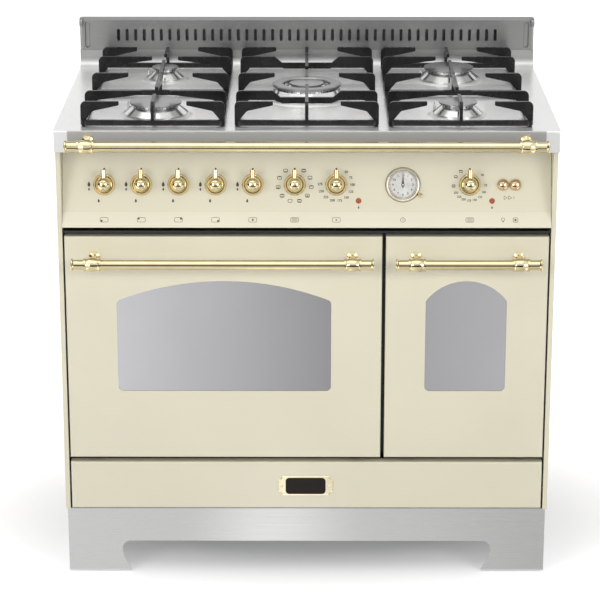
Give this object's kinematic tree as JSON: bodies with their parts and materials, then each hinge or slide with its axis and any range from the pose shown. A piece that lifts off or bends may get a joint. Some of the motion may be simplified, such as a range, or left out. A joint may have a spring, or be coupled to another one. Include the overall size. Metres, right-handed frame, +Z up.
{
  "type": "range cooker",
  "caption": "Freestanding range cooker: gas hob with cast pan supports, tilted control panel with lever knobs and clock, twin drop-down oven doors, storage drawer and arched plinth.",
  "frame": {"origin": "middle of the bounding box's base, on the floor under the cooker", "axes": "+X to the right seen from the front, +Y to the back, +Z up; the doors face -Y"},
  "size_m": [0.9, 0.6575, 0.945],
  "materials": {
    "cream_enamel": "gloss vitreous enamel, cream",
    "steel": "fine brushed stainless sheet",
    "brass": "polished and lacquered",
    "cast_iron": "satin black enamel on casting",
    "black_enamel": "dark oven enamel",
    "burner_alloy": "die cast, matt",
    "cap_enamel": "polished pressed cap",
    "window_glass": "grey tinted, mirror coated",
    "clear_glass": "clear",
    "seal_rubber": "woven silicone seal",
    "zinc_steel": "zinc plated sheet",
    "control_plastic": "moulded, matt",
    "lamp_lens": "clear red lens",
    "hand_black": "satin black",
    "chrome_wire": "bright plated wire",
    "element_steel": "dull heat-darkened tube",
    "foot_rubber": "moulded pad"
  },
  "bodies": {
    "cooker": {"left_side_panel": "cream_enamel", "right_side_panel": "cream_enamel", "back_panel": "zinc_steel", "base_pan": "zinc_steel", "plinth": "steel", "levelling_feet": "foot_rubber", "face_frame": "black_enamel", "vent_trim": "steel", "main_oven_cavity": "black_enamel", "small_oven_cavity": "black_enamel", "door_seals": "seal_rubber", "oven_racks": "chrome_wire", "fan_cover": "black_enamel", "fan_motor": "zinc_steel", "heating_elements": "element_steel", "hob_top": "steel", "splashback": "steel", "burner_crowns": "burner_alloy", "burner_caps": "cap_enamel", "control_panel": "cream_enamel", "control_rosettes": "brass", "control_bodies": "control_plastic", "gas_manifold": "brass", "clock_case": "brass", "clock_glass": "clear_glass", "pilot_lamps": "lamp_lens", "front_rail": "brass", "front_rail_posts": "brass", "drawer_runners": "zinc_steel", "cable_gland": "control_plastic", "door_hinges": "zinc_steel"},
    "main_door": {"main_door_panel": "cream_enamel", "main_door_glass": "window_glass", "main_door_liner": "black_enamel", "main_door_handle": "brass", "main_door_handle_posts": "brass"},
    "small_door": {"small_door_panel": "cream_enamel", "small_door_glass": "window_glass", "small_door_liner": "black_enamel", "small_door_handle": "brass", "small_door_handle_posts": "brass"},
    "drawer": {"drawer_front": "cream_enamel", "drawer_box": "zinc_steel"},
    "gas_knob_1": {"gas_knob_1": "brass"},
    "gas_knob_2": {"gas_knob_2": "brass"},
    "gas_knob_3": {"gas_knob_3": "brass"},
    "gas_knob_4": {"gas_knob_4": "brass"},
    "gas_knob_5": {"gas_knob_5": "brass"},
    "function_knob": {"function_knob": "brass"},
    "thermostat_knob": {"thermostat_knob": "brass"},
    "small_oven_knob": {"small_oven_knob": "brass"},
    "light_button": {"light_button": "brass"},
    "ignition_button": {"ignition_button": "brass"},
    "fan": {"convection_fan": "zinc_steel"},
    "minute_hand": {"clock_minute_hand": "hand_black"},
    "hour_hand": {"clock_hour_hand": "hand_black"},
    "set_stud": {"clock_set_stud": "brass"},
    "left_pan_support": {"left_pan_support": "cast_iron"},
    "middle_pan_support": {"middle_pan_support": "cast_iron"},
    "right_pan_support": {"right_pan_support": "cast_iron"}
  },
  "joints": [
    {"name": "main_door_open", "type": "hinge", "parent": "cooker", "child": "main_door", "pos_m": [-0.14936, -0.24725, 0.251], "axis": [1, 0, 0], "range_deg": [0, 90]},
    {"name": "small_door_open", "type": "hinge", "parent": "cooker", "child": "small_door", "pos_m": [0.28849, -0.24725, 0.251], "axis": [1, 0, 0], "range_deg": [0, 90]},
    {"name": "drawer_slide", "type": "slide", "parent": "cooker", "child": "drawer", "axis": [0, -1, 0], "range_m": [0, 0.32]},
    {"name": "gas_knob_1_turn", "type": "hinge", "parent": "cooker", "child": "gas_knob_1", "pos_m": [-0.36252, -0.23462, 0.74274], "axis": [0, -0.9659, 0.2588], "range_deg": [0, 210]},
    {"name": "gas_knob_2_turn", "type": "hinge", "parent": "cooker", "child": "gas_knob_2", "pos_m": [-0.29601, -0.23462, 0.74274], "axis": [0, -0.9659, 0.2588], "range_deg": [0, 210]},
    {"name": "gas_knob_3_turn", "type": "hinge", "parent": "cooker", "child": "gas_knob_3", "pos_m": [-0.2295, -0.23462, 0.74274], "axis": [0, -0.9659, 0.2588], "range_deg": [0, 210]},
    {"name": "gas_knob_4_turn", "type": "hinge", "parent": "cooker", "child": "gas_knob_4", "pos_m": [-0.16299, -0.23462, 0.74274], "axis": [0, -0.9659, 0.2588], "range_deg": [0, 210]},
    {"name": "gas_knob_5_turn", "type": "hinge", "parent": "cooker", "child": "gas_knob_5", "pos_m": [-0.09648, -0.23462, 0.74274], "axis": [0, -0.9659, 0.2588], "range_deg": [0, 210]},
    {"name": "function_knob_turn", "type": "hinge", "parent": "cooker", "child": "function_knob", "pos_m": [-0.02142, -0.23462, 0.74274], "axis": [0, -0.9659, 0.2588], "range_deg": [-315, 0]},
    {"name": "thermostat_knob_turn", "type": "hinge", "parent": "cooker", "child": "thermostat_knob", "pos_m": [0.05301, -0.23462, 0.74274], "axis": [0, -0.9659, 0.2588], "range_deg": [-270, 0]},
    {"name": "small_oven_knob_turn", "type": "hinge", "parent": "cooker", "child": "small_oven_knob", "pos_m": [0.29196, -0.23462, 0.74274], "axis": [0, -0.9659, 0.2588], "range_deg": [-270, 0]},
    {"name": "light_button_press", "type": "slide", "parent": "cooker", "child": "light_button", "axis": [0, 0.9659, -0.2588], "range_m": [0, 0.0035], "stiffness_N_per_m": 400},
    {"name": "ignition_button_press", "type": "slide", "parent": "cooker", "child": "ignition_button", "axis": [0, 0.9659, -0.2588], "range_m": [0, 0.0035], "stiffness_N_per_m": 400},
    {"name": "fan_spin", "type": "hinge", "parent": "cooker", "child": "fan", "pos_m": [-0.14936, 0.18025, 0.437], "axis": [0, 1, 0], "continuous": true},
    {"name": "minute_hand_turn", "type": "hinge", "parent": "cooker", "child": "minute_hand", "pos_m": [0.17226, -0.23462, 0.74274], "axis": [0, 0.9659, -0.2588], "continuous": true},
    {"name": "hour_hand_turn", "type": "hinge", "parent": "cooker", "child": "hour_hand", "pos_m": [0.17226, -0.23462, 0.74274], "axis": [0, 0.9659, -0.2588], "continuous": true},
    {"name": "set_stud_turn", "type": "hinge", "parent": "cooker", "child": "set_stud", "pos_m": [0.20266, -0.23949, 0.72458], "axis": [0, -0.9659, 0.2588], "continuous": true},
    {"name": "left_pan_support_lift", "type": "slide", "parent": "cooker", "child": "left_pan_support", "axis": [0, 0, 1], "range_m": [0, 0.12]},
    {"name": "middle_pan_support_lift", "type": "slide", "parent": "cooker", "child": "middle_pan_support", "axis": [0, 0, 1], "range_m": [0, 0.12]},
    {"name": "right_pan_support_lift", "type": "slide", "parent": "cooker", "child": "right_pan_support", "axis": [0, 0, 1], "range_m": [0, 0.12]}
  ],
  "couplings": [
    {"joint": "hour_hand_turn", "follows": "minute_hand_turn", "ratio": 0.083333}
  ]
}
